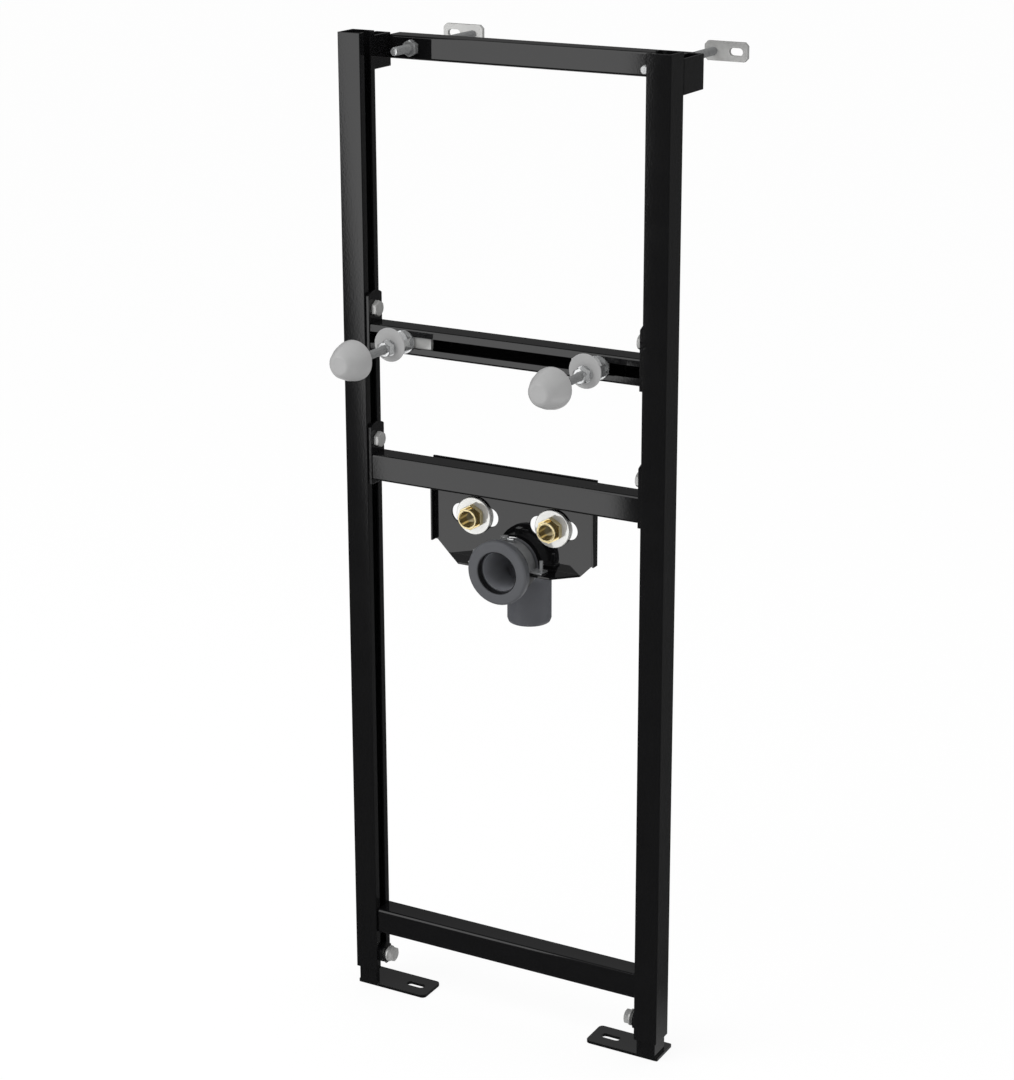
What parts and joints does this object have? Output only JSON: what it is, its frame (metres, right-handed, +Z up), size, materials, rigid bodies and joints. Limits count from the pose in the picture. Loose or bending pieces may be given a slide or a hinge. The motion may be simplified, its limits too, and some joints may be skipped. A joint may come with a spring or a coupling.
{
  "type": "washbasin installation frame",
  "caption": "Steel carrier frame for a wall-hung washbasin, with clamped feet, basin studs, a pipe plate, a drain elbow and rods to the wall behind.",
  "frame": {"origin": "on the floor under the left foot plate, at the middle of the left post's section", "axes": "+X to the right seen from the front, +Y from the front towards the wall, +Z up"},
  "size_m": [0.42, 0.366, 1.2],
  "materials": {
    "black_coat": "gloss black powder coat",
    "zinc": "bright zinc plating",
    "grey_plastic": "satin moulded",
    "drain_plastic": "smooth moulded",
    "seal_rubber": "satin moulded",
    "brass": "bright machined"
  },
  "bodies": {
    "root": {"bolt_rail": "black_coat", "bottom_rail": "black_coat", "left_bolt_rail_bracket": "black_coat", "left_corner_bracket": "black_coat", "left_foot": "black_coat", "left_pipe_rail_bracket": "black_coat", "left_post": "black_coat", "pipe_plate": "black_coat", "pipe_rail": "black_coat", "right_bolt_rail_bracket": "black_coat", "right_corner_bracket": "black_coat", "right_foot": "black_coat", "right_pipe_rail_bracket": "black_coat", "right_post": "black_coat", "top_rail": "black_coat", "left_back_washer": "zinc", "left_basin_nut": "zinc", "left_basin_stud": "zinc", "left_bolt_rail_bolt": "zinc", "left_fitting_washer": "zinc", "left_foot_bolt": "zinc", "left_lock_nut": "zinc", "left_pipe_rail_bolt": "zinc", "left_rod_front_nut": "zinc", "left_rod_rear_nut": "zinc", "left_slide_plate": "zinc", "left_wall_plate": "zinc", "left_wall_rod": "zinc", "pipe_clamp": "zinc", "right_back_washer": "zinc", "right_basin_nut": "zinc", "right_basin_stud": "zinc", "right_bolt_rail_bolt": "zinc", "right_fitting_washer": "zinc", "right_foot_bolt": "zinc", "right_lock_nut": "zinc", "right_pipe_rail_bolt": "zinc", "right_rod_front_nut": "zinc", "right_rod_rear_nut": "zinc", "right_slide_plate": "zinc", "right_wall_plate": "zinc", "right_wall_rod": "zinc", "left_basin_washer": "grey_plastic", "left_stud_cap": "grey_plastic", "right_basin_washer": "grey_plastic", "right_stud_cap": "grey_plastic", "drain_elbow": "drain_plastic", "drain_seal": "seal_rubber", "left_brass_fitting": "brass", "right_brass_fitting": "brass"}
  },
  "joints": []
}
